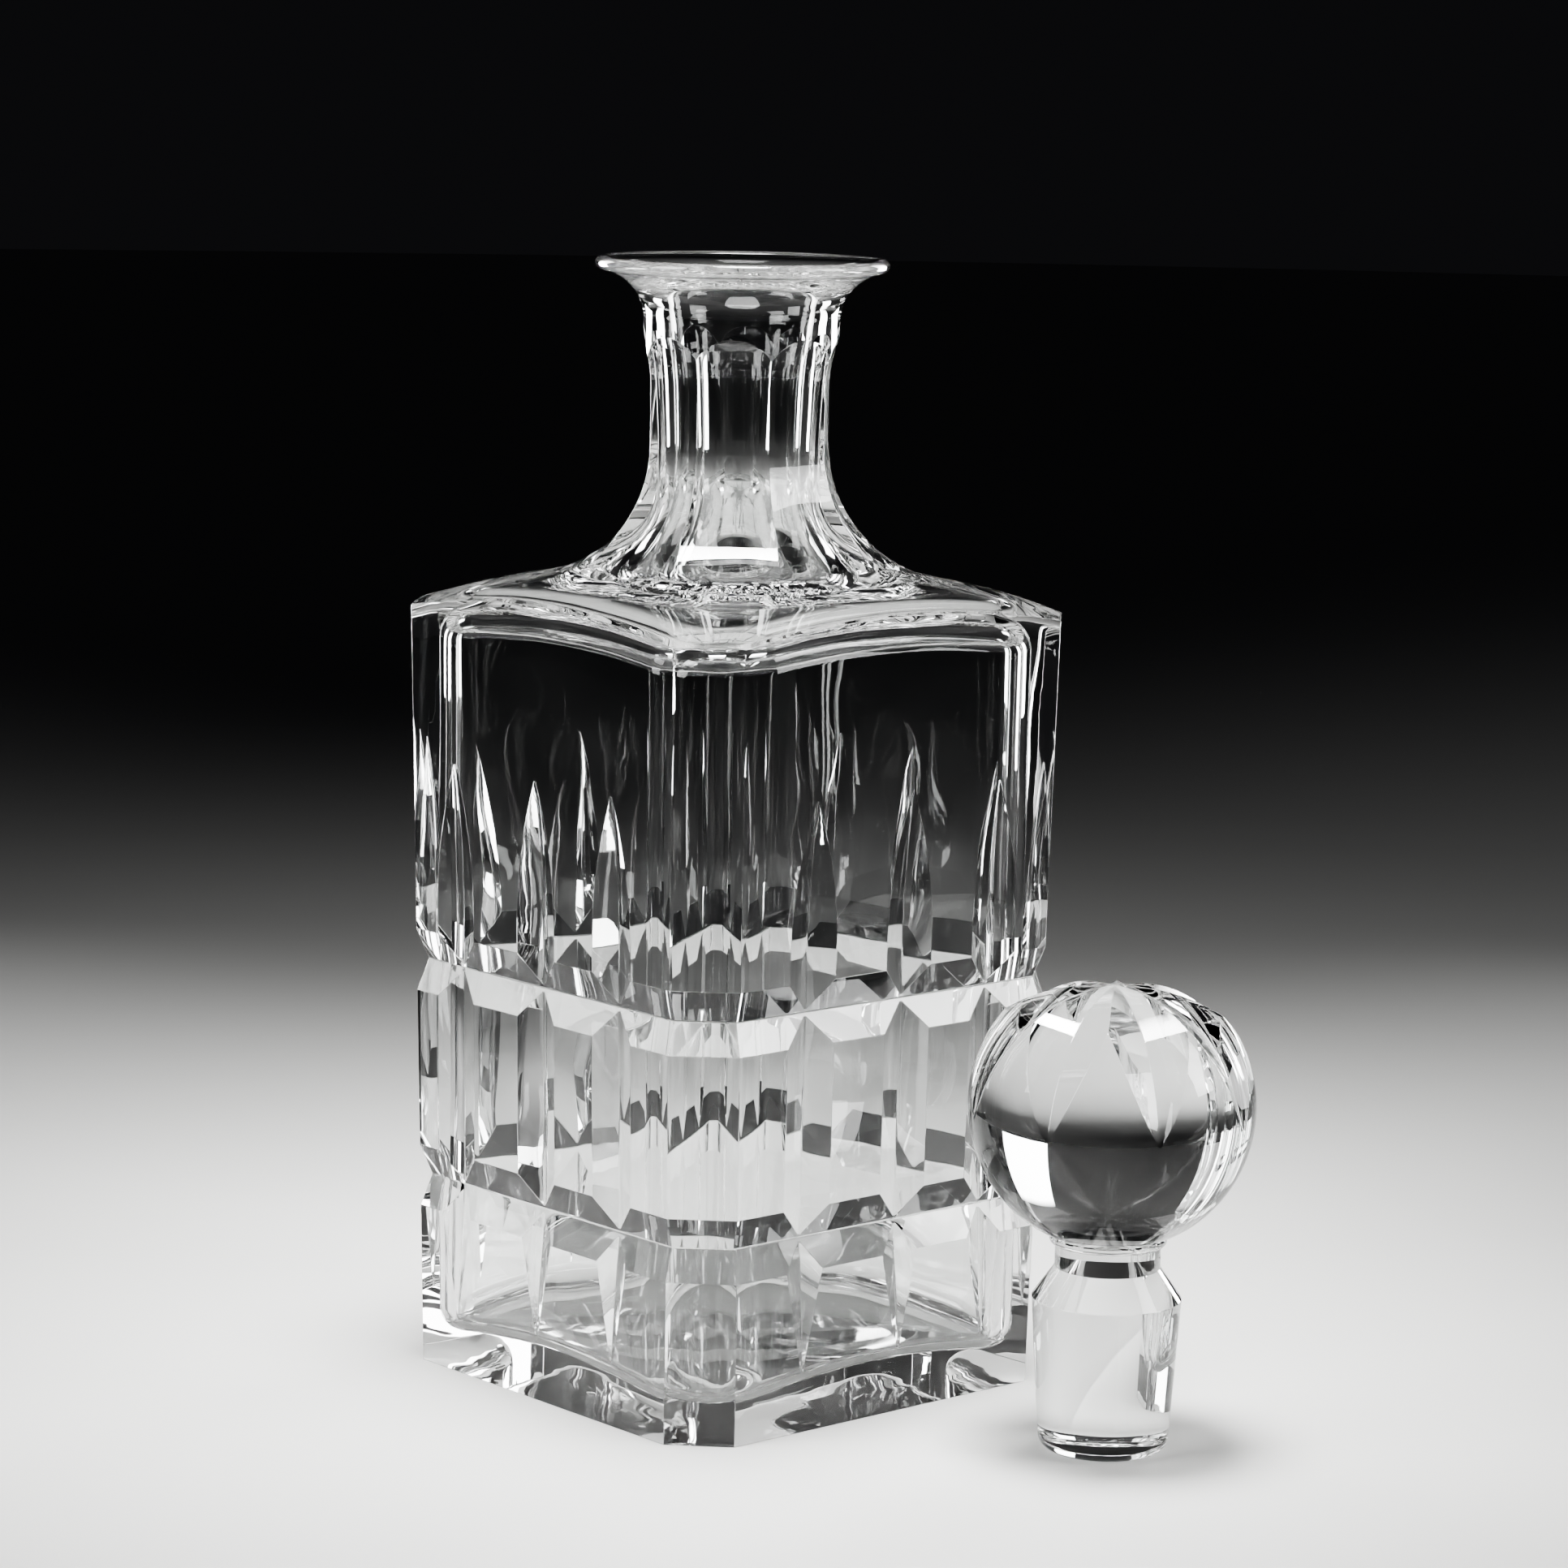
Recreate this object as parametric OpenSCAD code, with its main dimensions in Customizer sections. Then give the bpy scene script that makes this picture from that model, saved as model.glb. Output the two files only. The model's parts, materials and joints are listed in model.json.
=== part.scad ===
// Square cut-crystal decanter with a ball stopper that stands beside it.
// Frame: millimetres, +Z up, origin at the middle of the bottle's underside, body faces square to X and Y.

/* [Body] */
// Width across the flat faces at the underside
base_w = 85.8; // [78:0.2:92]
// Width across the flat faces at the level of the shoulder corners
shoulder_w = 90; // [82:0.2:96]
// Height of the shoulder corners
shoulder_z = 138; // [130:1:146]
// Length that each corner chamfer takes off a face
chamfer_leg = 8.6; // [6:0.2:10]
// Radius of the domed shoulder
dome_r = 210; // [160:5:300]

/* [Neck and lip] */
// Height of the rim
rim_z = 200; // [192:1:210]
// Diameter across the lip
lip_d = 52; // [48:0.5:58]
// Thickness of the lip at its rounded edge
lip_t = 2.1; // [1.6:0.1:3]
// Diameter of the round neck before its panels are cut
neck_d = 34.6; // [33:0.2:36]
// Radius of the sweep from the neck to the shoulder
root_r = 24; // [18:1:28]
// Radius of the sweep from the neck to the lip
flare_r = 9; // [7:0.5:11]
// Number of flat panels cut round the neck
panels = 8; // [6:1:10]
// Distance from the axis to each panel where the neck is slimmest
panel_r = 15.35; // [14.9:0.05:16]
// Height at which the panels start to run out towards the lip
panel_top_z = 178; // [174:0.5:180]

/* [Inside] */
// Half width of the cavity between its flat walls
cavity_half = 37.6; // [34:0.2:38.4]
// Radius of the cavity's upright corners
cavity_corner_r = 12; // [8:0.5:16]
// Thickness of glass in the shoulder
shoulder_t = 4; // [3:0.5:6]
// Height of the middle of the cavity floor, which is slightly domed
floor_z = 11.5; // [9:0.5:16]
// Radius of the domed cavity floor
floor_r = 180; // [120:10:400]
// Diameter of the straight bore in the neck, below the ground seat
bore_d = 22.6; // [21:0.1:23]

/* [Cut pattern] */
// Depth of every mitred cut
cut_d = 2.1; // [1.4:0.1:2.6]
// Width of every mitred cut at the surface
cut_w = 11.2; // [8:0.2:12.4]
// Distance between neighbouring upright cuts
cut_pitch = 21.6; // [19:0.2:24]
// Height of the lower level groove
low_groove_z = 34.4; // [30:0.2:40]
// Height of the upper level groove
high_groove_z = 74; // [68:0.5:84]
// Height of the upper tips of the upright cuts
lance_top_z = 111.5; // [106:0.5:118]
// Height of the lower tips of the upright cuts
lance_low_z = 9.4; // [7:0.2:14]

/* [Stopper] */
// Diameter of the ball
ball_d = 49.2; // [44:0.2:54]
// Height of the ball's centre above the foot of the plug
ball_z = 60; // [57:0.5:63]
// Diameter of the ground plug at its top
plug_top_d = 25.7; // [25:0.1:26.5]
// Diameter of the ground plug at its foot, before the edge is rounded
plug_foot_d = 22.5; // [21.8:0.1:23]
// Length of the ground plug
plug_h = 26.6; // [24:0.2:29]
// Diameter of the waist between the plug and the ball
waist_d = 18.1; // [15:0.1:20]
// Number of mitred cuts over the top of the ball
ball_cuts = 8; // [6:1:10]
// How deep the cuts are where they meet at the top of the ball
ball_cut_d = 3.8; // [3:0.1:4.6]

/* [Standing place] */
// Where the stopper's axis stands, to the right of the bottle's axis
stand_x = 81; // [78:1:140]
// Where the stopper's axis stands, in front of (-) or behind (+) the bottle's axis
stand_y = 16.4; // [-30:0.2:30]
// How far the stopper is turned about its own axis
stand_turn = 19.5; // [0:0.5:45]

/* [Hidden] */
$fn = 96;
glass = [0.86, 0.89, 0.9, 0.45];
step = 0.04; // how far meeting curves cross, so that no two are exactly tangent
reach = 6; // how far a cutter stands out of the glass
base_half = base_w / 2;
lean = (shoulder_w - base_w) / 2 / shoulder_z; // outward slope of a face
lean_a = atan(lean);
corner_dist = (base_w - chamfer_leg) / sqrt(2); // from the axis to a chamfer, at the underside
corner_a = atan(lean * sqrt(2));
// The dome passes through the chamfer's upper corners
corner_r = norm([shoulder_w / 2, shoulder_w / 2 - chamfer_leg]);
dome_z = shoulder_z - sqrt(dome_r ^ 2 - corner_r ^ 2);
// The sweep at the root of the neck rolls between the neck and the dome
neck_r = neck_d / 2;
root_x = neck_r + root_r;
root_z = dome_z + sqrt((dome_r + root_r) ^ 2 - root_x ^ 2);
root_touch = root_x * dome_r / (dome_r + root_r);
lip_r = lip_d / 2;
lip_z = rim_z - lip_t / 2;
flare_z = rim_z - lip_t - flare_r;
// The wheels that cut the neck panels, below and above
panel_low_r = root_r + 0.6;
panel_high_r = 20;
panel_low_z = root_z + 0.6;
// The ground seat matches the plug with a grinding clearance
grind = 0.05;
seat_top_z = rim_z - 5.3;
seat_z = seat_top_z - plug_h; // height of the plug's foot when the stopper is in
bore_r = bore_d / 2;
bore_low_z = 154;
inner_root_r = 16; // sweep from the bore to the cavity
inner_dome_r = dome_r - shoulder_t;
inner_root_x = bore_r + inner_root_r;
// Mitred cuts
spread = (cut_w / 2) / cut_d; // half width of a cut for each millimetre of depth
wheel_r = 187; // wheel that leaves the pointed upper ends
run_out = sqrt(2 * wheel_r * cut_d);
wheel_z = lance_top_z - run_out;
low_tilt = atan(cut_d / (low_groove_z - lance_low_z));
taper_len = 50; // reaches past the lower tip
lanes = [-cut_pitch, 0, cut_pitch];
// Ball
ball_r = ball_d / 2;
ball_tip_a = -5; // the cuts end this far below the ball's widest level, in degrees
ball_spread = 2.8; // half width of a ball cut for each millimetre of depth
arc_top = ball_r - ball_cut_d;
arc_mid = ball_r - 0.95 * ball_cut_d;
// A cut's bottom line is a circle through three points of the ball's upright section
p1 = [0, arc_top];
p2 = arc_mid * [sin(45), cos(45)];
p3 = ball_r * [cos(ball_tip_a), sin(ball_tip_a)];
arc_c = circle_centre(p1, p2, p3);
arc_r = norm(arc_c - p1);
pole_r = 1.2;
plug_round = 2.4;
shoulder_h = 5.4;

// Centre of the circle through three points
function circle_centre(a, b, c) =
    let (d = 2 * (a.x * (b.y - c.y) + b.x * (c.y - a.y) + c.x * (a.y - b.y)))
    let (a2 = a * a, b2 = b * b, c2 = c * c)
    [(a2 * (b.y - c.y) + b2 * (c.y - a.y) + c2 * (a.y - b.y)) / d,
     (a2 * (c.x - b.x) + b2 * (a.x - c.x) + c2 * (b.x - a.x)) / d];

// Stands its children on one of the four faces: x along the face, y into the glass, z up the face
module on_face(side) {
    rotate([0, 0, 90 * side]) translate([0, -base_half, 0]) rotate([lean_a, 0, 0]) children();
}

// The same on one of the four chamfers
module on_chamfer(side) {
    rotate([0, 0, 45 + 90 * side]) translate([0, -corner_dist, 0]) rotate([corner_a, 0, 0]) children();
}

// Section of a mitred cut: a vee whose point is depth deep, opening outwards (-y)
module vee(depth) {
    polygon([[0, depth], [-spread * (depth + reach), -reach], [spread * (depth + reach), -reach]]);
}

// Outer form of the body before the shoulder is rounded: four leaning faces and four chamfers
module body_block() {
    difference() {
        translate([-shoulder_w, -shoulder_w, 0]) cube([2 * shoulder_w, 2 * shoulder_w, rim_z + 10]);
        for (side = [0:3]) {
            on_face(side) translate([-150, -120, -50]) cube([300, 120, 320]);
            on_chamfer(side) translate([-150, -120, -50]) cube([300, 120, 320]);
        }
    }
}

// Half section of the dome, the neck and the lip
module outer_section() {
    difference() {
        union() {
            intersection() {
                translate([0, dome_z]) circle(r = dome_r, $fn = 360);
                square([shoulder_w, rim_z]);
            }
            square([root_touch, root_z]);
            square([neck_r, rim_z]);
            translate([0, flare_z]) square([lip_r - lip_t / 2, rim_z - flare_z]);
            translate([lip_r - lip_t / 2, lip_z]) circle(d = lip_t);
        }
        translate([root_x - step / 2, root_z - step]) circle(r = root_r);
        translate([neck_r + flare_r - step / 2, flare_z]) circle(r = flare_r);
    }
}

// The wheel that cuts one flat panel, moved up and down the neck
module panel_cutter() {
    rotate([90, 0, 0]) linear_extrude(44, center = true) union() {
        translate([panel_r + panel_low_r, panel_low_z]) circle(r = panel_low_r);
        translate([panel_r + panel_high_r, panel_top_z]) circle(r = panel_high_r);
        translate([panel_r + step, panel_low_z]) square([panel_high_r, panel_top_z - panel_low_z]);
    }
}

// Ground seat, mouth and straight bore, as a half section
module bore_section() {
    seat_top = plug_top_d / 2 + grind;
    seat_low = plug_foot_d / 2 + grind;
    polygon([
        [0, bore_low_z - 12], [bore_r, bore_low_z - 12], [bore_r, seat_z], [seat_low, seat_z],
        [seat_top, seat_top_z], [seat_top + 0.8, seat_top_z + 2.2], [lip_r - lip_t, rim_z + step],
        [lip_r - lip_t, rim_z + 8], [0, rim_z + 8]
    ]);
}

// Space inside the body
module cavity() {
    flat = cavity_half - cavity_corner_r;
    difference() {
        intersection() {
            union() {
                translate([-flat, -cavity_half, 0]) cube([2 * flat, 2 * cavity_half, shoulder_z + 20]);
                translate([-cavity_half, -flat, 0]) cube([2 * cavity_half, 2 * flat, shoulder_z + 20]);
                for (x = [-flat, flat], y = [-flat, flat])
                    translate([x, y, 0]) cylinder(r = cavity_corner_r, h = shoulder_z + 20);
            }
            translate([0, 0, dome_z]) sphere(r = inner_dome_r, $fn = 360);
        }
        translate([0, 0, floor_z - floor_r]) sphere(r = floor_r, $fn = 360);
    }
}

// Sweep that opens the bore into the cavity, as a half section
module inner_root_section() {
    touch_z = dome_z + sqrt((inner_dome_r + inner_root_r) ^ 2 - inner_root_x ^ 2);
    touch_x = inner_root_x * inner_dome_r / (inner_dome_r + inner_root_r);
    difference() {
        translate([0, shoulder_z - 16]) square([touch_x, touch_z - shoulder_z + 16]);
        translate([inner_root_x - step, touch_z - step]) circle(r = inner_root_r);
    }
}

// One upright cut: pointed and wheel-cut at the top, tapering to a point near the base
module lance() {
    translate([0, 0, low_groove_z]) linear_extrude(wheel_z - low_groove_z) vee(cut_d);
    translate([0, cut_d - step - wheel_r, wheel_z]) rotate([0, 90, 0]) wheel();
    translate([0, cut_d - step, low_groove_z]) rotate([-low_tilt, 0, 0])
        translate([0, -cut_d, 1 - taper_len]) linear_extrude(taper_len) vee(cut_d);
}

// The sharp rim of the cutting wheel, about Z
module wheel() {
    rim = cut_d + reach;
    rotate_extrude($fn = 360)
        polygon([[wheel_r, 0], [wheel_r - rim, -spread * rim], [wheel_r - rim, spread * rim]]);
}

// A level groove along one face
module groove(z) {
    translate([0, 0, z]) rotate([0, 90, 0]) linear_extrude(140, center = true) vee(cut_d);
}

module bottle() {
    color(glass) difference() {
        intersection() {
            body_block();
            rotate_extrude($fn = 180) outer_section();
        }
        for (i = [0:panels - 1]) rotate([0, 0, i * 360 / panels]) panel_cutter();
        rotate_extrude($fn = 96) bore_section();
        rotate_extrude($fn = 96) inner_root_section();
        cavity();
        for (side = [0:3], z = [low_groove_z, high_groove_z]) {
            on_face(side) groove(z);
            on_chamfer(side) groove(z);
        }
        for (side = [0:3], x = lanes) on_face(side) translate([x, 0, 0]) lance();
    }
}

// Half section of the plug: rounded foot, ground cone, sloping shoulder and waist
module plug_section() {
    foot_r = plug_foot_d / 2;
    difference() {
        polygon([
            [0, 0], [foot_r, 0], [plug_top_d / 2, plug_h], [waist_d / 2, plug_h + shoulder_h],
            [waist_d / 2, ball_z - ball_r / 2], [0, ball_z - ball_r / 2]
        ]);
        difference() {
            translate([foot_r - plug_round, -1]) square([plug_round + 2, plug_round + 1]);
            translate([foot_r - plug_round, plug_round]) circle(r = plug_round);
        }
    }
}

// Cutter for one mitred cut over the ball: what lies outside a double cone, on one side of the axis
module ball_cutter() {
    difference() {
        translate([pole_r / 2, -ball_r, -ball_r / 2]) cube([ball_r + reach, 2 * ball_r, 2 * ball_r]);
        translate([arc_c.x, 0, arc_c.y]) rotate([90, 0, 0]) rotate_extrude($fn = 180) polygon([
            [0, -ball_r - 1], [arc_r + (ball_r + 1) / ball_spread, -ball_r - 1], [arc_r, 0],
            [arc_r + (ball_r + 1) / ball_spread, ball_r + 1], [0, ball_r + 1]
        ]);
    }
}

// The ball after its first few cuts; the small core at the pole keeps the cuts from meeting in one point
module cut_ball(cuts) {
    difference() {
        if (cuts > 1) cut_ball(cuts - 1);
        else difference() {
            sphere(r = ball_r, $fn = 180);
            cylinder(r = pole_r, h = 2 * ball_r);
        }
        rotate([0, 0, cuts * 360 / ball_cuts]) ball_cutter();
    }
}

module stopper() {
    color(glass) translate([stand_x, stand_y, 0]) rotate([0, 0, stand_turn]) union() {
        rotate_extrude($fn = 180) plug_section();
        translate([0, 0, ball_z]) cut_ball(ball_cuts);
        translate([0, 0, ball_z - 1]) cylinder(r = pole_r + step, h = arc_top + 1 - 5 * step);
    }
}

bottle();
stopper();
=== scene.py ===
# %% [markdown]
# # A cut-crystal decanter and its ball stopper
#
# The real object is two pieces of clear lead crystal. The bottle is blown into a square mould,
# which gives it leaning faces, chamfered corners and a domed shoulder. Cutting wheels then grind
# the pattern: upright pointed cuts, two level grooves and flat panels round the neck. The stopper
# is one solid ball on a ground plug, with eight cuts that meet in a star on top.
#
# A glass object is seen through as much as it is seen, so the inside has to be modelled with the
# same care as the outside. Each piece here is one closed skin with a true thickness.
#
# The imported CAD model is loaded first. It is the fixed frame: it says how large the pieces are and
# where they stand.

# %% Load the frame
import math

import bmesh
import bpy
from mathutils import Matrix, Vector
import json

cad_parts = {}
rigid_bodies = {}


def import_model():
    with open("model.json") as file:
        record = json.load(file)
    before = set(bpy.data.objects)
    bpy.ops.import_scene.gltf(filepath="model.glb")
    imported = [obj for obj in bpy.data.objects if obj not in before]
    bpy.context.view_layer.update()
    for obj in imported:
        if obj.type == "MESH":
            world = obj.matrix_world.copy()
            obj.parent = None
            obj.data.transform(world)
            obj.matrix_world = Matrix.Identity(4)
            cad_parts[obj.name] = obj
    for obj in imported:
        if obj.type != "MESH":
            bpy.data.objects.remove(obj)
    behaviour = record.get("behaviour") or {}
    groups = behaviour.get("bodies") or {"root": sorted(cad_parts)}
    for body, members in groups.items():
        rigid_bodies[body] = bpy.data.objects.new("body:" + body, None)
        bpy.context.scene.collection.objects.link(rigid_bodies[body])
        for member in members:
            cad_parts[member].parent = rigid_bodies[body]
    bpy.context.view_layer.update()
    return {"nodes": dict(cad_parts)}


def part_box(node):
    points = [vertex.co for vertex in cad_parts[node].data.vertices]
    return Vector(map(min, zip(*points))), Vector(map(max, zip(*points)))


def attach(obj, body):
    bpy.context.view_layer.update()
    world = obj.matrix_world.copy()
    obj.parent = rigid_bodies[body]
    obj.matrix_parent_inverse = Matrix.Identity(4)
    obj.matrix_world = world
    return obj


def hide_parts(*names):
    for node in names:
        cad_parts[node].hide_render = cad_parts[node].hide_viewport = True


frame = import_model()
MM = 0.001

# %% [markdown]
# ## Sizes taken from the frame
#
# The main sizes are read off the CAD nodes, so the looks can't drift away from the design. A body
# that leans outwards has to be measured at a level, so a small helper finds the widest point
# between two heights.

# %% Measure the CAD nodes
bottle_low, bottle_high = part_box("bottle")
stopper_low, stopper_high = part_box("stopper")
bottle_points = [v.co.copy() for v in frame["nodes"]["bottle"].data.vertices]


def widest(low, high, points=bottle_points):
    """Half width of the CAD bottle between two heights."""
    return max(p.x for p in points if low <= p.z <= high)


rim_z = bottle_high.z
base_half = widest(-1 * MM, 0.01 * MM)
chamfer_leg = base_half - max(p.y for p in bottle_points if p.z < 0.01 * MM and p.x > base_half - 0.01 * MM)
lip_r = widest(rim_z - 3 * MM, rim_z)
stopper_x = (stopper_low.x + stopper_high.x) / 2
stopper_y = (stopper_low.y + stopper_high.y) / 2
print("rim", rim_z, "base half", base_half, "chamfer", chamfer_leg, "lip", lip_r)
print("stopper stands at", stopper_x, stopper_y)

# %% [markdown]
# ## Helpers for drawing a section
#
# Round glass is drawn as half a section and then spun about its axis, as a lathe or a blowing iron
# would turn it. A section starts as one vertex. A straight stretch is an extrude of that vertex,
# and a round stretch is a small spin about the arc's own centre, so it is a true arc.

# %% Section helpers
def deselect():
    if bpy.context.object and bpy.context.object.mode == "EDIT":
        bpy.ops.object.mode_set(mode="OBJECT")
    bpy.ops.object.select_all(action="DESELECT")


def select_where(piece, kind, test):
    """Selects a piece's vertices ("VERT"), edges ("EDGE") or faces ("FACE") by a test, in edit mode."""
    if bpy.context.object.mode == "EDIT":
        bpy.ops.object.mode_set(mode="OBJECT")
    bpy.context.view_layer.objects.active = piece
    bpy.ops.object.mode_set(mode="EDIT")
    bpy.ops.mesh.select_mode(type=kind)
    bpy.ops.mesh.select_all(action="DESELECT")
    bpy.ops.object.mode_set(mode="OBJECT")
    mesh = piece.data
    chosen = {"VERT": mesh.vertices, "EDGE": mesh.edges, "FACE": mesh.polygons}[kind]
    for item in chosen:
        item.select = test(item)
    bpy.ops.object.mode_set(mode="EDIT")


def start_section(name, x, z):
    """One selected vertex, in edit mode, where a section begins."""
    deselect()
    bpy.ops.mesh.primitive_plane_add(size=MM, location=(x, 0, z))
    piece = bpy.context.object
    piece.name = name
    bpy.ops.object.transform_apply(location=True, rotation=True, scale=True)
    bpy.ops.object.mode_set(mode="EDIT")
    bpy.ops.mesh.select_mode(type="VERT")
    bpy.ops.mesh.select_all(action="SELECT")
    bpy.ops.mesh.merge(type="CENTER")
    piece["pen"] = (x, z)
    return piece


def line_to(piece, x, z):
    """A straight stretch from the last vertex."""
    old_x, old_z = piece["pen"]
    move = {"value": (x - old_x, 0, z - old_z)}
    bpy.ops.mesh.extrude_region_move(TRANSFORM_OT_translate=move)
    piece["pen"] = (x, z)


def arc_to(piece, centre_x, centre_z, end_angle, steps):
    """A round stretch about a centre, up to an angle in degrees that is counted from +X towards +Z."""
    old_x, old_z = piece["pen"]
    start_angle = math.atan2(old_z - centre_z, old_x - centre_x)
    turn = math.radians(end_angle) - start_angle
    turn = (turn + math.pi) % (2 * math.pi) - math.pi
    bpy.ops.mesh.spin(steps=steps, angle=turn, center=(centre_x, 0, centre_z), axis=(0, 1, 0))
    radius = math.hypot(old_x - centre_x, old_z - centre_z)
    end = math.radians(end_angle)
    piece["pen"] = (centre_x + radius * math.cos(end), centre_z + radius * math.sin(end))


def spin_round(piece, steps):
    """Turns a section into a closed solid of revolution about Z."""
    bpy.ops.mesh.select_all(action="SELECT")
    bpy.ops.mesh.spin(steps=steps, angle=2 * math.pi, center=(0, 0, 0), axis=(0, 0, 1))
    bpy.ops.mesh.select_all(action="SELECT")
    bpy.ops.mesh.remove_doubles(threshold=0.002 * MM)
    bpy.ops.mesh.normals_make_consistent(inside=False)
    bpy.ops.object.mode_set(mode="OBJECT")
    print(piece.name, "spun:", len(piece.data.polygons), "faces")


# %% [markdown]
# ## Outside of the bottle: the moulded block
#
# The mould gives the body four flat faces that lean outwards a little towards the shoulder, and
# four chamfers. A cube is the natural start. Its top is widened to make the lean, and its upright
# edges are bevelled with one flat segment.

# %% Body block
shoulder_z = 138 * MM
lean = (widest(rim_z * 0.6, rim_z * 0.75) - base_half) / (shoulder_z + 3.2 * MM)
block_top = rim_z + 6 * MM
print("faces lean by", round(math.degrees(math.atan(lean)), 2), "degrees")

deselect()
bpy.ops.mesh.primitive_cube_add(size=1, location=(0, 0, 0))
block = bpy.context.object
block.name = "crystal_block"
bpy.ops.object.mode_set(mode="EDIT")
bpy.ops.transform.resize(value=(2 * base_half, 2 * base_half, block_top))
bpy.ops.transform.translate(value=(0, 0, block_top / 2))
select_where(block, "FACE", lambda face: face.normal.z > 0.9)
widen = (base_half + lean * block_top) / base_half
bpy.ops.transform.resize(value=(widen, widen, 1))


def is_upright(edge):
    """True for the four long edges at the corners of the block."""
    ends = [block.data.vertices[i].co for i in edge.vertices]
    return abs(ends[0].z - ends[1].z) > block_top / 2


select_where(block, "EDGE", is_upright)
bpy.ops.mesh.bevel(offset=chamfer_leg, offset_type="OFFSET", segments=1, affect="EDGES")
bpy.ops.mesh.select_mode(type="VERT")
bpy.ops.object.mode_set(mode="OBJECT")
print("block corners:", len(block.data.vertices))

# %% [markdown]
# ## Outside of the bottle: dome, neck and lip
#
# Above the body the glass is round: a shallow dome, a sweep up into the neck and a second, smaller
# sweep out to the lip. They are one section of arcs and lines that is spun about the axis. The
# block and the spun form overlap, and what they share is the uncut bottle.

# %% Spun form of the shoulder, neck and lip
dome_r = 210 * MM
corner_r = math.hypot(base_half + lean * shoulder_z, base_half + lean * shoulder_z - chamfer_leg)
dome_z = shoulder_z - math.sqrt(dome_r**2 - corner_r**2)
neck_r = 17.3 * MM
root_r = 24 * MM
root_x = neck_r + root_r
root_z = dome_z + math.sqrt((dome_r + root_r) ** 2 - root_x**2)
flare_r = 9 * MM
lip_t = 2.1 * MM
lip_x = lip_r - lip_t / 2
flare_z = rim_z - lip_t - flare_r
outside_r = 66 * MM
around = 180

shell = start_section("shoulder_form", 0, rim_z)
line_to(shell, lip_r - lip_t, rim_z)
line_to(shell, lip_x, rim_z)
arc_to(shell, lip_x, rim_z - lip_t / 2, 0, 5)
arc_to(shell, lip_x, rim_z - lip_t / 2, -89, 5)
flare_start = math.degrees(math.acos((lip_x - neck_r - flare_r) / flare_r))
line_to(shell, lip_x, flare_z + flare_r * math.sin(math.radians(flare_start)))
arc_to(shell, neck_r + flare_r, flare_z, 179.99, 12)
line_to(shell, neck_r, root_z)
dome_touch = math.degrees(math.atan2(root_z - dome_z, root_x))
arc_to(shell, root_x, root_z, dome_touch - 180, 16)
arc_to(shell, 0, dome_z, math.degrees(math.acos(outside_r / dome_r)), 16)
line_to(shell, outside_r, -4 * MM)
line_to(shell, 0, -4 * MM)
spin_round(shell, around)


# %% Keep what the block and the spun form share
def boolean(piece, operation, other):
    """Applies one exact Boolean with another object or with a whole collection of cutters."""
    change = piece.modifiers.new("cut", "BOOLEAN")
    change.operation = operation
    change.solver = "EXACT"
    if isinstance(other, bpy.types.Collection):
        change.operand_type = "COLLECTION"
        change.collection = other
    else:
        change.object = other
    apply_modifier(piece, change)
    print(piece.name, operation.lower(), "->", len(piece.data.polygons), "faces")


def apply_modifier(piece, modifier):
    deselect()
    bpy.context.view_layer.objects.active = piece
    piece.select_set(True)
    bpy.ops.object.modifier_apply(modifier=modifier.name)


boolean(block, "INTERSECT", shell)
bpy.data.objects.remove(shell)
bottle = block
bottle.name = "crystal_bottle"

# %% [markdown]
# ## Cutters
#
# Every mark of a cutting wheel is a shape taken away. Each kind of cutter is modelled once, flat in
# front of a face, and then copied to its places. They are gathered in one collection, because a
# Boolean can take a whole collection away in one pass and sort out where cutters cross.

# %% Cutter helpers
cutters = bpy.data.collections.new("cutting_wheels")
bpy.context.scene.collection.children.link(cutters)


def place_copy(master, name, place, group):
    """A copy of a cutter with its own mesh, moved by a matrix that is applied to the mesh."""
    deselect()
    bpy.context.view_layer.objects.active = master
    master.select_set(True)
    bpy.ops.object.duplicate(linked=False)
    copy = bpy.context.object
    copy.name = name
    copy.matrix_world = place @ master.matrix_world
    bpy.ops.object.transform_apply(location=True, rotation=True, scale=True)
    for owner in list(copy.users_collection):
        owner.objects.unlink(copy)
    group.objects.link(copy)
    return copy


def face_place(side, turn, distance, along=0.0, up=0.0, tilt=0.0):
    """Where a cutter goes: on one of four sides, at a distance from the axis, tilted like the face."""
    spin = Matrix.Rotation(math.radians(90 * side + turn), 4, "Z")
    stand = Matrix.Translation((0, -distance, 0)) @ Matrix.Rotation(tilt, 4, "X")
    return spin @ stand @ Matrix.Translation((along, 0, up))


# %% [markdown]
# ## Upright pointed cuts
#
# A wheel with a mitred rim leaves a groove with a vee section. Where the wheel lifts out along its
# own curve, the groove grows shallow and so narrow, and ends in a long point. The cutter is a
# triangle that is extruded up the face. At each step it is scaled about its outer edge, so only the
# inner edge, which makes the bottom of the groove, moves in or out.

# %% Triangle that all vee cutters start from
cut_d = 2.1 * MM
cut_w = 11.2 * MM
reach = 6 * MM
spread = (cut_w / 2) / cut_d
cut_bottom = 0.2 * MM
clear = 0.3 * MM


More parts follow.
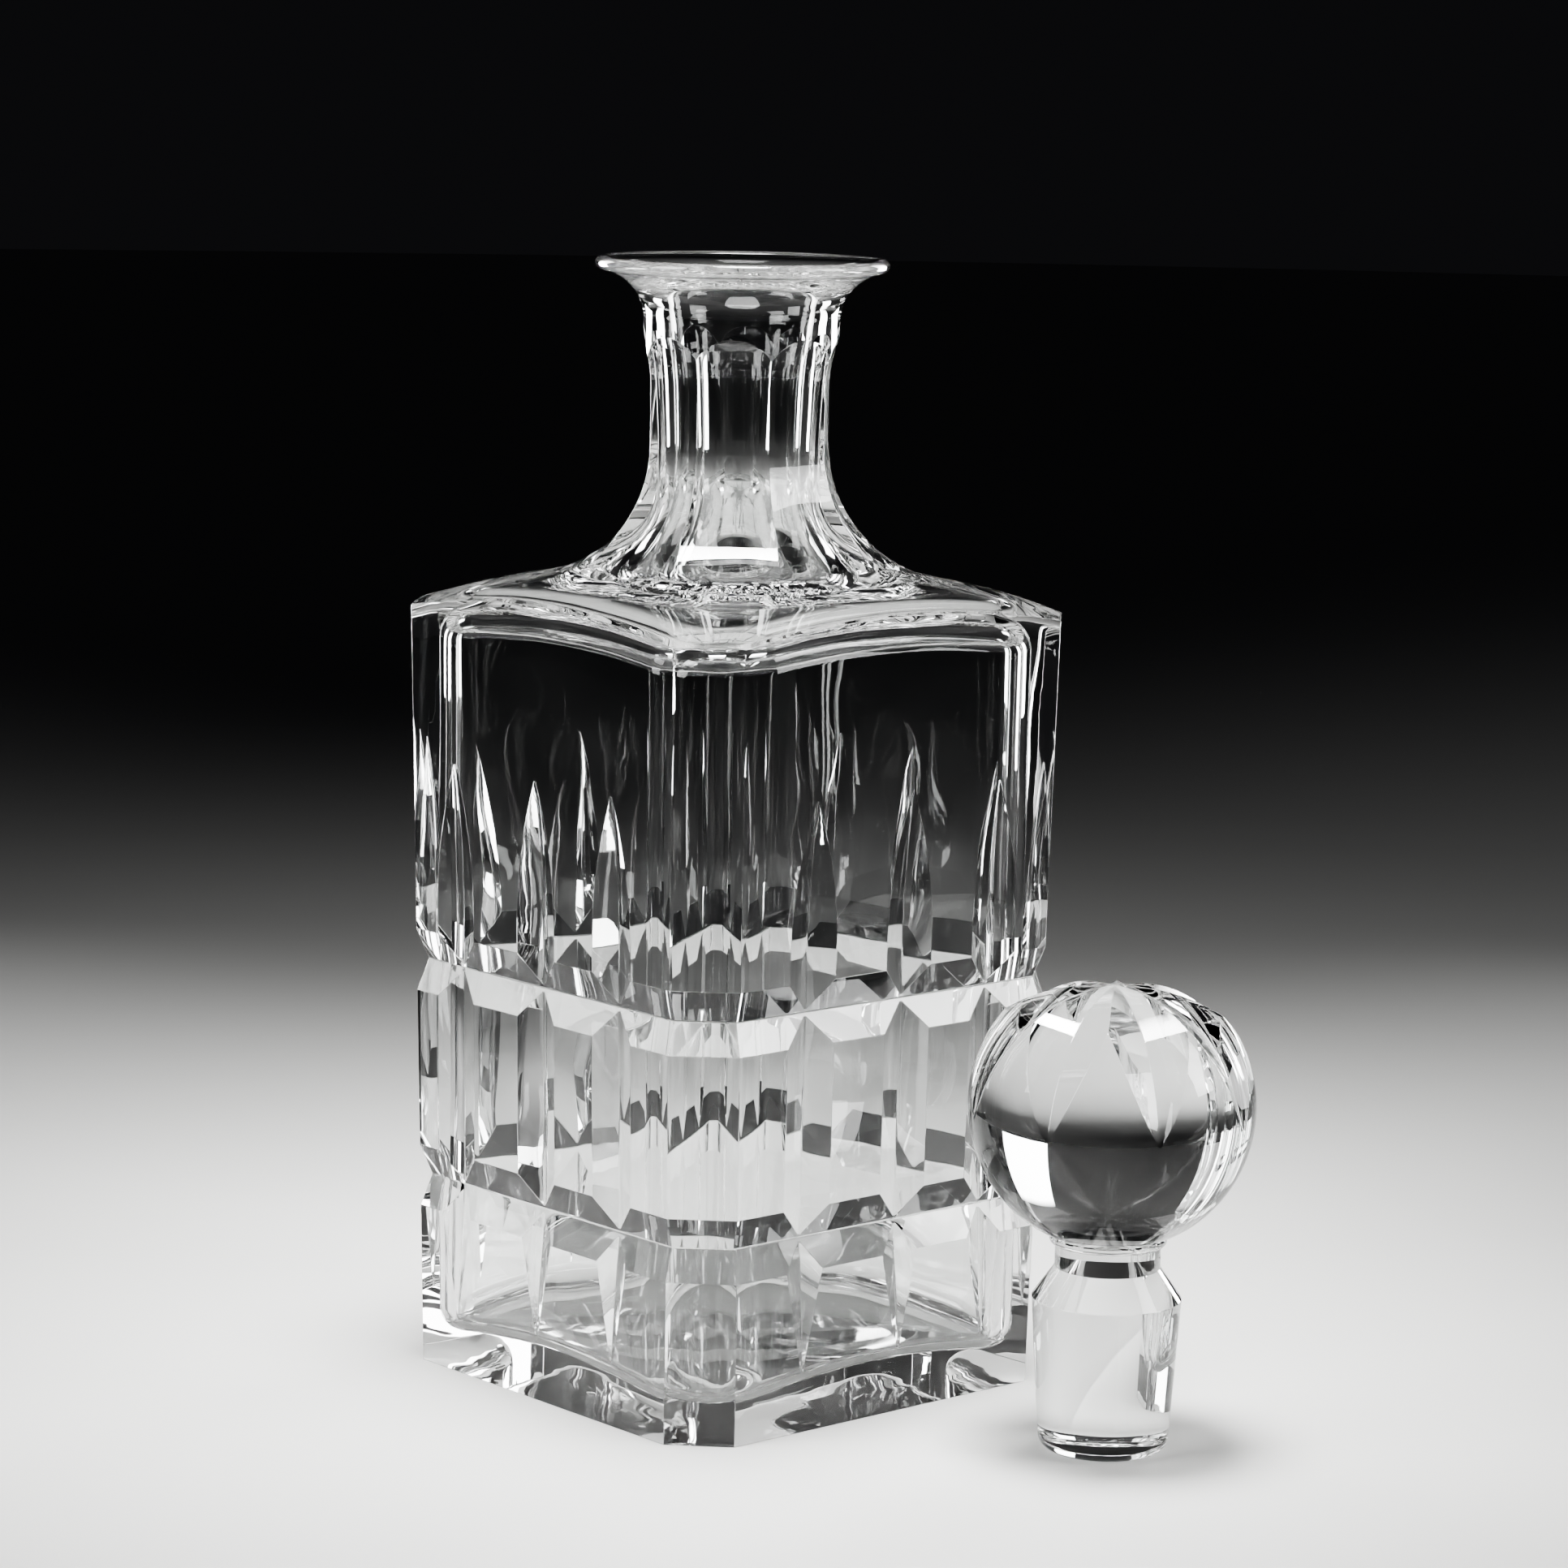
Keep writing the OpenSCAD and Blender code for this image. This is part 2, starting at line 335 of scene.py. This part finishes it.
def start_vee(name, depth, z):
    """A triangle at a height, its point depth deep in the glass (+Y) and its base outside it (-Y)."""
    deselect()
    bpy.ops.mesh.primitive_circle_add(vertices=3, radius=1, fill_type="NGON", location=(0, 0, 0))
    piece = bpy.context.object
    piece.name = name
    tall = depth + reach
    bpy.ops.object.mode_set(mode="EDIT")
    bpy.ops.transform.resize(value=(2 * spread * tall / math.sqrt(3), tall / 1.5, 1), center_override=(0, 0, 0))
    bpy.ops.transform.translate(value=(0, tall / 3 - reach, z))
    select_where(piece, "VERT", lambda v: v.co.y > depth - 0.01 * MM)
    bpy.ops.mesh.bevel(offset=cut_bottom, segments=1, affect="VERTICES")
    bpy.ops.mesh.select_all(action="SELECT")
    piece["depth"] = depth
    piece["level"] = z
    return piece


def extrude_vee(piece, depth, z):
    """The next section of a vee cutter, at another height and depth."""
    bpy.ops.mesh.extrude_region_move(TRANSFORM_OT_translate={"value": (0, 0, z - piece["level"])})
    grow = (depth + reach) / (piece["depth"] + reach)
    bpy.ops.transform.resize(value=(grow, grow, 1), center_override=(0, -reach, z))
    piece["depth"] = depth
    piece["level"] = z


def close_cutter(piece):
    bpy.ops.mesh.select_all(action="SELECT")
    bpy.ops.mesh.normals_make_consistent(inside=False)
    bpy.ops.object.mode_set(mode="OBJECT")


# %% Cutter for one upright cut
low_groove_z = 34.4 * MM
high_groove_z = 74 * MM
lance_top_z = 111.5 * MM
lance_low_z = 9.4 * MM
lance_d = cut_d - 0.15 * MM
wheel_r = 187 * MM
lift_z = lance_top_z - math.sqrt(2 * wheel_r * lance_d)
taper = lance_d / (low_groove_z - lance_low_z)

lance = start_vee("lance_cutter", -clear, lance_low_z - clear / taper)
extrude_vee(lance, lance_d, low_groove_z)
extrude_vee(lance, lance_d, lift_z)
lift_steps = 20
for i in range(1, lift_steps + 1):
    rise = (lance_top_z + 2 * MM - lift_z) * i / lift_steps
    lift = wheel_r - math.sqrt(wheel_r**2 - rise**2)
    extrude_vee(lance, lance_d - lift, lift_z + rise)
close_cutter(lance)
print("the wheel starts to lift at", round(lift_z / MM, 1), "mm")

# %% Copies on the four faces, with the small wander of handwork
lean_angle = math.atan(lean)
cut_pitch = 21.6 * MM
wander = {
    0: (-2.3 * MM, -1.0 * MM, -1.6 * MM),
    1: (2.25 * MM, 2.75 * MM, 1.15 * MM),
    2: (-0.6 * MM, 0.9 * MM, 0.4 * MM),
    3: (0.8 * MM, -0.7 * MM, 1.1 * MM),
}
for side, shifts in wander.items():
    for lane, shift in zip((-1, 0, 1), shifts):
        spot = face_place(side, 0, base_half, along=lane * cut_pitch + shift, tilt=lean_angle)
        place_copy(lance, f"lance_{side}_{lane}", spot, cutters)
bpy.data.objects.remove(lance)

# %% [markdown]
# ## Level grooves
#
# Two grooves run round the whole body, over the faces and the chamfers. They have the same vee
# section as the upright cuts, so where they cross, the bottoms meet in a point.

# %% Groove cutters on the faces and the chamfers
groove = start_vee("groove_cutter", cut_d, -base_half * 1.6)
extrude_vee(groove, cut_d, base_half * 1.6)
close_cutter(groove)
groove.rotation_euler = (0, math.pi / 2, 0)
deselect()
groove.select_set(True)
bpy.ops.object.transform_apply(location=False, rotation=True, scale=False)
corner_dist = (2 * base_half - chamfer_leg) / math.sqrt(2)
corner_angle = math.atan(lean * math.sqrt(2))
for side in range(4):
    for z in (low_groove_z, high_groove_z):
        on_face = face_place(side, 0, base_half, up=z, tilt=lean_angle)
        on_corner = face_place(side, 45, corner_dist, up=z, tilt=corner_angle)
        place_copy(groove, f"groove_face_{side}", on_face, cutters)
        place_copy(groove, f"groove_corner_{side}", on_corner, cutters)
bpy.data.objects.remove(groove)

# %% [markdown]
# ## Flat panels round the neck
#
# Eight flats are ground up the neck. The wheel comes in over the shoulder, runs up the neck and
# lifts off below the lip, so each panel ends in a curve at both ends. The cutter is the outline of
# that path, filled with one face and extruded sideways.

# %% Panel cutter
panels = 8
panel_r = 15.35 * MM
panel_low_r = root_r + 0.6 * MM
panel_high_r = 20 * MM
panel_low_z = root_z + 0.6 * MM
panel_top_z = 178 * MM
panel_width = 44 * MM

panel = start_section("panel_cutter", panel_r + panel_low_r, panel_low_z - panel_low_r)
arc_to(panel, panel_r + panel_low_r, panel_low_z, 180, 18)
line_to(panel, panel_r, panel_top_z)
arc_to(panel, panel_r + panel_high_r, panel_top_z, 90, 14)
line_to(panel, outside_r, panel_top_z + panel_high_r)
line_to(panel, outside_r, panel_low_z - panel_low_r)
bpy.ops.mesh.select_all(action="SELECT")
bpy.ops.mesh.edge_face_add()
bpy.ops.transform.translate(value=(0, -panel_width / 2, 0))
bpy.ops.mesh.extrude_region_move(TRANSFORM_OT_translate={"value": (0, panel_width, 0)})
close_cutter(panel)
for i in range(panels):
    place_copy(panel, f"panel_{i}", Matrix.Rotation(2 * math.pi * i / panels, 4, "Z"), cutters)
bpy.data.objects.remove(panel)

# %% [markdown]
# ## Inside of the bottle
#
# The mould shapes the outside only. Inside, the hot glass flows into a softer form: a square room
# with rounded corners, a floor that rises in the middle and a ceiling that follows the shoulder.
# What light does in the glass depends on this inner skin, so it has real rounding and the slight
# waves of blown glass. It starts as a cube whose edges are bevelled round, upright edges first.

# %% The room as a rounded box
cavity_half = 37.6 * MM
cavity_corner_r = 12 * MM
shoulder_t = 4 * MM
floor_z = 11.5 * MM
floor_r = 180 * MM
edge_r = 4.5 * MM
inner_dome_r = dome_r - shoulder_t
ceiling_z = dome_z + inner_dome_r

deselect()
bpy.ops.mesh.primitive_cube_add(size=1, location=(0, 0, 0))
room = bpy.context.object
room.name = "inner_room"
bpy.ops.object.mode_set(mode="EDIT")
bpy.ops.transform.resize(value=(2 * cavity_half, 2 * cavity_half, ceiling_z - floor_z))
bpy.ops.transform.translate(value=(0, 0, (ceiling_z + floor_z) / 2))


def edge_span(piece, edge):
    """How far an edge runs along X, Y and Z."""
    a, b = [piece.data.vertices[i].co for i in edge.vertices]
    return [abs(a[k] - b[k]) for k in range(3)]


select_where(room, "EDGE", lambda edge: edge_span(room, edge)[2] > cavity_half)
bpy.ops.mesh.bevel(offset=cavity_corner_r, offset_type="OFFSET", segments=12, affect="EDGES")
level = {ceiling_z, floor_z}
select_where(room, "EDGE", lambda edge: edge_span(room, edge)[2] < 0.1 * MM)
bpy.ops.mesh.bevel(offset=edge_r, offset_type="OFFSET", segments=6, affect="EDGES")
select_where(room, "EDGE", lambda edge: max(edge_span(room, edge)[:2]) > cavity_half)
bpy.ops.mesh.subdivide(number_cuts=13)
select_where(room, "EDGE", lambda edge: edge_span(room, edge)[2] > cavity_half)
bpy.ops.mesh.subdivide(number_cuts=29)

# %% Ceiling and floor as rings that close in the middle, then domed
for up in (1, -1):
    select_where(room, "FACE", lambda face: face.normal.z * up > 0.9 and len(face.vertices) > 8)
    for shrink in (0.88, 0.86, 0.84, 0.81, 0.77, 0.72, 0.64, 0.5, 0.3):
        bpy.ops.mesh.extrude_region_move(TRANSFORM_OT_translate={"value": (0, 0, 0)})
        bpy.ops.transform.resize(value=(shrink, shrink, 1))
    bpy.ops.mesh.merge(type="CENTER")
bpy.ops.object.mode_set(mode="OBJECT")
middle_z = (ceiling_z + floor_z) / 2
for v in room.data.vertices:
    from_axis = math.hypot(v.co.x, v.co.y)
    share = min(1.0, abs(v.co.z - middle_z) / (0.75 * (middle_z - floor_z)))
    if v.co.z > middle_z:
        v.co.z -= share * (inner_dome_r - math.sqrt(inner_dome_r**2 - from_axis**2))
    else:
        v.co.z -= share * (floor_r - math.sqrt(floor_r**2 - from_axis**2))
print("inner room:", len(room.data.polygons), "faces, ceiling at", round(ceiling_z / MM, 1), "mm")

# %% [markdown]
# Blown glass is never quite even. A cloud texture moves the inner skin by a fraction of a
# millimetre, which is what bends the lines that are seen through the walls.

# %% Slow waves in the blown skin
waves = bpy.data.textures.new("blown_waves", "CLOUDS")
waves.noise_scale = 26 * MM
waves.noise_depth = 1
ripple = room.modifiers.new("waves", "DISPLACE")
ripple.texture = waves
ripple.texture_coords = "LOCAL"
ripple.strength = 0.7 * MM
ripple.mid_level = 0.5
apply_modifier(room, ripple)
cutters.objects.link(room)
bpy.context.scene.collection.objects.unlink(room)

# %% [markdown]
# The neck's inside is ground true on a spindle: a mouth that opens into the lip, a tapered seat for
# the plug, a straight bore, and a sweep where the bore opens into the room. It is one spun section.

# %% Bore, seat and mouth
bore_r = 11.3 * MM
seat_top_r = 12.9 * MM
seat_low_z = 168.1 * MM
inner_root_r = 16 * MM
inner_root_x = bore_r + inner_root_r
inner_root_z = dome_z + math.sqrt((inner_dome_r + inner_root_r) ** 2 - inner_root_x**2)
sweep_x = inner_root_x * inner_dome_r / (inner_dome_r + inner_root_r)
sweep_z = dome_z + math.sqrt(inner_dome_r**2 - sweep_x**2)
mouth_z = 192.5 * MM
mouth_r = 5.63 * MM

bore = start_section("bore_cutter", 0, sweep_z - 12 * MM)
line_to(bore, sweep_x, sweep_z - 12 * MM)
line_to(bore, sweep_x, sweep_z)
arc_to(bore, inner_root_x, inner_root_z, 180.01, 16)
line_to(bore, bore_r, seat_low_z)
line_to(bore, seat_top_r, mouth_z)
arc_to(bore, seat_top_r + mouth_r, mouth_z, 107, 8)
line_to(bore, lip_r - lip_t, rim_z + 0.04 * MM)
line_to(bore, lip_r - lip_t, rim_z + 6 * MM)
line_to(bore, 0, rim_z + 6 * MM)
spin_round(bore, 96)
cutters.objects.link(bore)
bpy.context.scene.collection.objects.unlink(bore)

# %% Take everything away in one pass
boolean(bottle, "DIFFERENCE", cutters)
for cutter in list(cutters.objects):
    bpy.data.objects.remove(cutter)

# %% [markdown]
# ## Soft edges
#
# After cutting, crystal is dipped in acid or polished with a felt wheel, so no edge is knife sharp.
# A narrow bevel on every sharp edge catches the thin bright lines that make cut glass sparkle. The
# flat parts keep their flat shading, because the normals are weighted by face size.

# %% Clean, bevel and shade
edge_soft = 0.1 * MM
least_turn = math.radians(14)
smooth_turn = math.radians(32)


def select_ridges(piece, spare):
    """Selects the edges that stick out and turn by more than the least angle, in edit mode."""
    form = bmesh.new()
    form.from_mesh(piece.data)
    sharp = [e for e in form.edges if e.calc_face_angle_signed(0) > least_turn]
    ridges = {e.index for e in sharp if not any(spare(v.co) for v in e.verts)}
    form.free()
    select_where(piece, "EDGE", lambda edge: edge.index in ridges)


def soften(piece, width, box, spare=lambda point: False):
    """Merges doubles, bevels the ridges and weights the normals."""
    select_where(piece, "VERT", lambda v: True)
    bpy.ops.mesh.remove_doubles(threshold=edge_soft)
    bpy.ops.object.mode_set(mode="OBJECT")
    select_ridges(piece, spare)
    bpy.ops.mesh.bevel(offset=width, segments=2, affect="EDGES", clamp_overlap=False)
    bpy.ops.mesh.select_mode(type="VERT")
    bpy.ops.mesh.select_all(action="SELECT")
    bpy.ops.mesh.remove_doubles(threshold=0.004 * MM)
    bpy.ops.object.mode_set(mode="OBJECT")
    for v in piece.data.vertices:
        v.co = [min(max(v.co[k], box[0][k]), box[1][k]) for k in range(3)]
    deselect()
    piece.select_set(True)
    bpy.ops.object.shade_smooth_by_angle(angle=smooth_turn)
    weighted = piece.modifiers.new("flat_stays_flat", "WEIGHTED_NORMAL")
    weighted.mode = "FACE_AREA"
    weighted.weight = 50
    weighted.keep_sharp = True
    apply_modifier(piece, weighted)
    print(piece.name, "softened:", len(piece.data.polygons), "faces")


soften(bottle, edge_soft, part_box("bottle"))

# %% [markdown]
# ## The stopper
#
# The plug, its sloping shoulder, the waist with its small bead and the ball are one solid. They are
# drawn as one section and spun. Eight mitred cuts then cross the ball from the top to just below its
# widest level. Each cutter is the same triangle as before, spun along the curve of the cut's bottom.

# %% Spun form of the stopper
ball_r = (stopper_high.x - stopper_low.x) / 2
ball_z = 60 * MM
foot_r = 11.25 * MM
foot_round = 2.4 * MM
plug_top_r = 12.85 * MM
plug_h = 26.6 * MM
waist_r = 9.05 * MM
waist_low_z = 32 * MM
bead_z = 36.85 * MM
bead_r = 0.86 * MM

stopper = start_section("crystal_stopper", 0, 0)
line_to(stopper, foot_r - foot_round, 0)
arc_to(stopper, foot_r - foot_round, foot_round, -3.4, 6)
line_to(stopper, plug_top_r, plug_h)
line_to(stopper, waist_r, waist_low_z)
line_to(stopper, waist_r, bead_z - bead_r)
arc_to(stopper, waist_r + 0.15 * MM, bead_z, 40, 6)
ball_foot_r = 10.4 * MM
line_to(stopper, ball_foot_r, ball_z - math.sqrt(ball_r**2 - ball_foot_r**2))
arc_to(stopper, 0, ball_z, 89.99, 40)
spin_round(stopper, 128)

# %% Cutter for one cut over the ball
ball_cut_d = 3.8 * MM
ball_spread = 2.8
tip_angle = -5
top_point = Vector((0, ball_r - ball_cut_d))
mid_point = Vector((1, 1)).normalized() * (ball_r - 0.95 * ball_cut_d)
tip = math.radians(tip_angle)
tip_point = ball_r * Vector((math.cos(tip), math.sin(tip)))


def circle_centre(a, b, c):
    """Centre of the circle through three points of a plane."""
    d = 2 * (a.x * (b.y - c.y) + b.x * (c.y - a.y) + c.x * (a.y - b.y))
    aa, bb, cc = a.length_squared, b.length_squared, c.length_squared
    x = (aa * (b.y - c.y) + bb * (c.y - a.y) + cc * (a.y - b.y)) / d
    y = (aa * (c.x - b.x) + bb * (a.x - c.x) + cc * (b.x - a.x)) / d
    return Vector((x, y))


cut_centre = circle_centre(top_point, mid_point, tip_point)
cut_r = (top_point - cut_centre).length
ball_reach = 9 * MM
start_angle = -6
past_pole = 4
end_angle = math.degrees(math.atan2(-cut_centre.y + top_point.y, -cut_centre.x)) + past_pole
print("cut bottom: radius", round(cut_r / MM, 2), "mm, to", round(end_angle, 1), "degrees")

deselect()
bpy.ops.mesh.primitive_circle_add(vertices=3, radius=1, fill_type="NGON", rotation=(0, 0, math.pi / 2))
ball_cutter = bpy.context.object
ball_cutter.name = "ball_cutter"
bpy.ops.object.transform_apply(location=True, rotation=True, scale=True)
bpy.ops.object.mode_set(mode="EDIT")
bpy.ops.mesh.select_mode(type="VERT")
bpy.ops.mesh.select_all(action="SELECT")
vee_size = (ball_reach / 1.5, 2 * ball_spread * ball_reach / math.sqrt(3), 1)
bpy.ops.transform.resize(value=vee_size, center_override=(0, 0, 0))
bpy.ops.transform.translate(value=(cut_r + ball_reach * 2 / 3, 0, 0))
select_where(ball_cutter, "VERT", lambda v: v.co.x < cut_r + 0.01 * MM)
bpy.ops.mesh.bevel(offset=cut_bottom, segments=1, affect="VERTICES")
bpy.ops.mesh.select_all(action="SELECT")
turn = math.radians(end_angle - start_angle)
bpy.ops.mesh.spin(steps=48, angle=turn, center=(0, 0, 0), axis=(0, 1, 0))
close_cutter(ball_cutter)
ball_cutter.matrix_world = (
    Matrix.Translation((cut_centre.x, 0, ball_z + cut_centre.y))
    @ Matrix.Rotation(math.radians(-start_angle), 4, "Y")
)
ball_cuts = 8
stopper_turn = 19.5
ball_wheels = bpy.data.collections.new("ball_wheels")
bpy.context.scene.collection.children.link(ball_wheels)
for i in range(ball_cuts):
    turn = Matrix.Rotation(math.radians(stopper_turn + 360 * i / ball_cuts), 4, "Z")
    place_copy(ball_cutter, f"ball_cut_{i}", turn, ball_wheels)
bpy.data.objects.remove(ball_cutter)
boolean(stopper, "DIFFERENCE", ball_wheels)
for cutter in list(ball_wheels.objects):
    bpy.data.objects.remove(cutter)

# %% Stand the stopper in its place
stopper.location = (stopper_x, stopper_y, 0)
deselect()
bpy.context.view_layer.objects.active = stopper
stopper.select_set(True)
bpy.ops.object.transform_apply(location=True, rotation=True, scale=True)


def at_star(point, radius=1.8 * MM):
    """True at the middle of the star, where eight ridges meet and have no room for a bevel."""
    off_axis = math.hypot(point.x - stopper_x, point.y - stopper_y)
    return off_axis < radius and point.z > ball_z


select_where(stopper, "VERT", lambda v: at_star(v.co, 0.6 * MM))
bpy.ops.mesh.merge(type="CENTER")
bpy.ops.object.mode_set(mode="OBJECT")
soften(stopper, edge_soft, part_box("stopper"), at_star)

# %% [markdown]
# ## Lead crystal
#
# Lead crystal is clear, colourless and bends light more than window glass. A Principled shader with
# full transmission and an index of 1.55 is that glass. Two things keep it from looking like
# computer glass: the wheel leaves a trace of waviness in the polished skin, and the glass has the
# faintest grey that changes slowly through the piece.

# %% Crystal material
def crystal(name, wave_scale, wave_height):
    material = bpy.data.materials.new(name)
    material.use_nodes = True
    nodes = material.node_tree.nodes
    links = material.node_tree.links
    shader = nodes["Principled BSDF"]
    shader.inputs["Transmission Weight"].default_value = 1
    shader.inputs["IOR"].default_value = 1.55
    place = nodes.new("ShaderNodeTexCoord")

    tint_noise = nodes.new("ShaderNodeTexNoise")
    tint_noise.inputs["Scale"].default_value = 18
    tint_noise.inputs["Detail"].default_value = 2
    tint = nodes.new("ShaderNodeValToRGB")
    tint.color_ramp.elements[0].color = (0.965, 0.975, 0.975, 1)
    tint.color_ramp.elements[1].color = (0.99, 0.995, 0.99, 1)
    links.new(place.outputs["Object"], tint_noise.inputs["Vector"])
    links.new(tint_noise.outputs["Fac"], tint.inputs["Fac"])
    links.new(tint.outputs["Color"], shader.inputs["Base Color"])

    polish = nodes.new("ShaderNodeTexNoise")
    polish.inputs["Scale"].default_value = 60
    polish.inputs["Detail"].default_value = 4
    polish_range = nodes.new("ShaderNodeMapRange")
    polish_range.inputs["From Min"].default_value = 0.35
    polish_range.inputs["From Max"].default_value = 0.8
    polish_range.inputs["To Min"].default_value = 0.0
    polish_range.inputs["To Max"].default_value = 0.03
    links.new(place.outputs["Object"], polish.inputs["Vector"])
    links.new(polish.outputs["Fac"], polish_range.inputs["Value"])
    links.new(polish_range.outputs["Result"], shader.inputs["Roughness"])

    waviness = nodes.new("ShaderNodeTexNoise")
    waviness.inputs["Scale"].default_value = wave_scale
    waviness.inputs["Detail"].default_value = 1
    bump = nodes.new("ShaderNodeBump")
    bump.inputs["Strength"].default_value = 1
    bump.inputs["Distance"].default_value = wave_height
    links.new(place.outputs["Object"], waviness.inputs["Vector"])
    links.new(waviness.outputs["Fac"], bump.inputs["Height"])
    links.new(bump.outputs["Normal"], shader.inputs["Normal"])
    return material


bottle.data.materials.append(crystal("bottle_crystal", 55, 0.12 * MM))
stopper.data.materials.append(crystal("stopper_crystal", 70, 0.08 * MM))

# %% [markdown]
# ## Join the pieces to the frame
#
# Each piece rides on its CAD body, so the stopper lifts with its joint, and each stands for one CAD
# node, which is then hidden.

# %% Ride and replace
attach(bottle, "bottle_body")
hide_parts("bottle")
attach(stopper, "stopper_body")
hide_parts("stopper")

# %% [markdown]
# ## Floor, light and camera
#
# A pale, plain floor and soft lights, as in a studio. Clear glass shows only what it bends and
# mirrors, so it needs large soft lights for its bright edges and a darker surround for its dark
# ones.

# %% Floor
deselect()
bpy.ops.mesh.primitive_circle_add(vertices=96, radius=4, fill_type="NGON", location=(0, 0, 0))
floor = bpy.context.object
floor.name = "studio_floor"
floor_paint = bpy.data.materials.new("pale_floor")
floor_paint.use_nodes = True
floor_paint.node_tree.nodes["Principled BSDF"].inputs["Base Color"].default_value = (0.55, 0.55, 0.54, 1)
floor_paint.node_tree.nodes["Principled BSDF"].inputs["Roughness"].default_value = 0.8
floor.data.materials.append(floor_paint)

# %% Camera
target = Vector((0, 0, 0.1))
azimuth = math.radians(49.54)
elevation = math.radians(9.32)
roll = math.radians(0.9)
distance = 0.8879
focal_share = 6112.9 / 1932
frame_shift = (0.01007, 0.00708)

right = Vector((math.cos(azimuth), math.sin(azimuth), 0))
back = Vector((
    math.sin(azimuth) * math.cos(elevation),
    -math.cos(azimuth) * math.cos(elevation),
    math.sin(elevation),
))
back_level = Vector((back.x, back.y, 0)).normalized()
up = back.cross(right)
camera_x = right * math.cos(roll) + up * math.sin(roll)
camera_y = up * math.cos(roll) - right * math.sin(roll)
look_back = (back - camera_x * frame_shift[0] - camera_y * frame_shift[1]).normalized()
camera_x = (camera_x - look_back * camera_x.dot(look_back)).normalized()
camera_y = look_back.cross(camera_x)

camera_data = bpy.data.cameras.new("camera")
camera_data.sensor_width = 36
camera_data.lens = focal_share * camera_data.sensor_width
camera = bpy.data.objects.new("camera", camera_data)
bpy.context.scene.collection.objects.link(camera)
turned = Matrix((camera_x, camera_y, look_back)).transposed().to_4x4()
camera.matrix_world = Matrix.Translation(target + back * distance) @ turned
bpy.context.scene.camera = camera

# %% Lights
world = bpy.data.worlds.new("studio_air")
bpy.context.scene.world = world
world.use_nodes = True
world.node_tree.nodes["Background"].inputs["Color"].default_value = (0.009, 0.009, 0.01, 1)


def softbox(name, sideways, behind, height, size, power, spread, aim_height):
    """A rectangular area light, placed as seen from the camera, that looks at the object's axis."""
    lamp = bpy.data.lights.new(name, "AREA")
    lamp.shape = "RECTANGLE"
    lamp.size, lamp.size_y = size
    lamp.energy = power
    lamp.spread = math.radians(spread)
    holder = bpy.data.objects.new(name, lamp)
    bpy.context.scene.collection.objects.link(holder)
    holder.location = right * sideways - back_level * behind + Vector((0, 0, height))
    aim = Vector((0, 0, aim_height))
    holder.rotation_euler = (aim - holder.location).to_track_quat("-Z", "Y").to_euler()
    return holder


softbox("right_strip", 0.42, 0.5, 0.42, (0.2, 0.75), 5, 80, 0.55)
softbox("left_strip", -0.42, 0.5, 0.42, (0.2, 0.75), 5, 80, 0.55)
softbox("top_box", 0.0, -0.05, 0.8, (0.25, 0.25), 1.2, 36, 0.0)
softbox("left_front", -0.7, -0.35, 0.5, (0.4, 0.6), 1.2, 60, 0.15)
softbox("right_front", 0.8, -0.2, 0.5, (0.3, 0.6), 1.0, 60, 0.15)
bpy.context.scene.view_settings.look = "AgX - Medium High Contrast"

# %% [markdown]
# Light crosses many skins of glass before it reaches the camera, so the paths may be long.

# %% Light paths
cycles = bpy.context.scene.cycles
cycles.max_bounces = 24
cycles.transmission_bounces = 24
cycles.glossy_bounces = 12
cycles.sample_clamp_indirect = 8

# %% Finish
import json
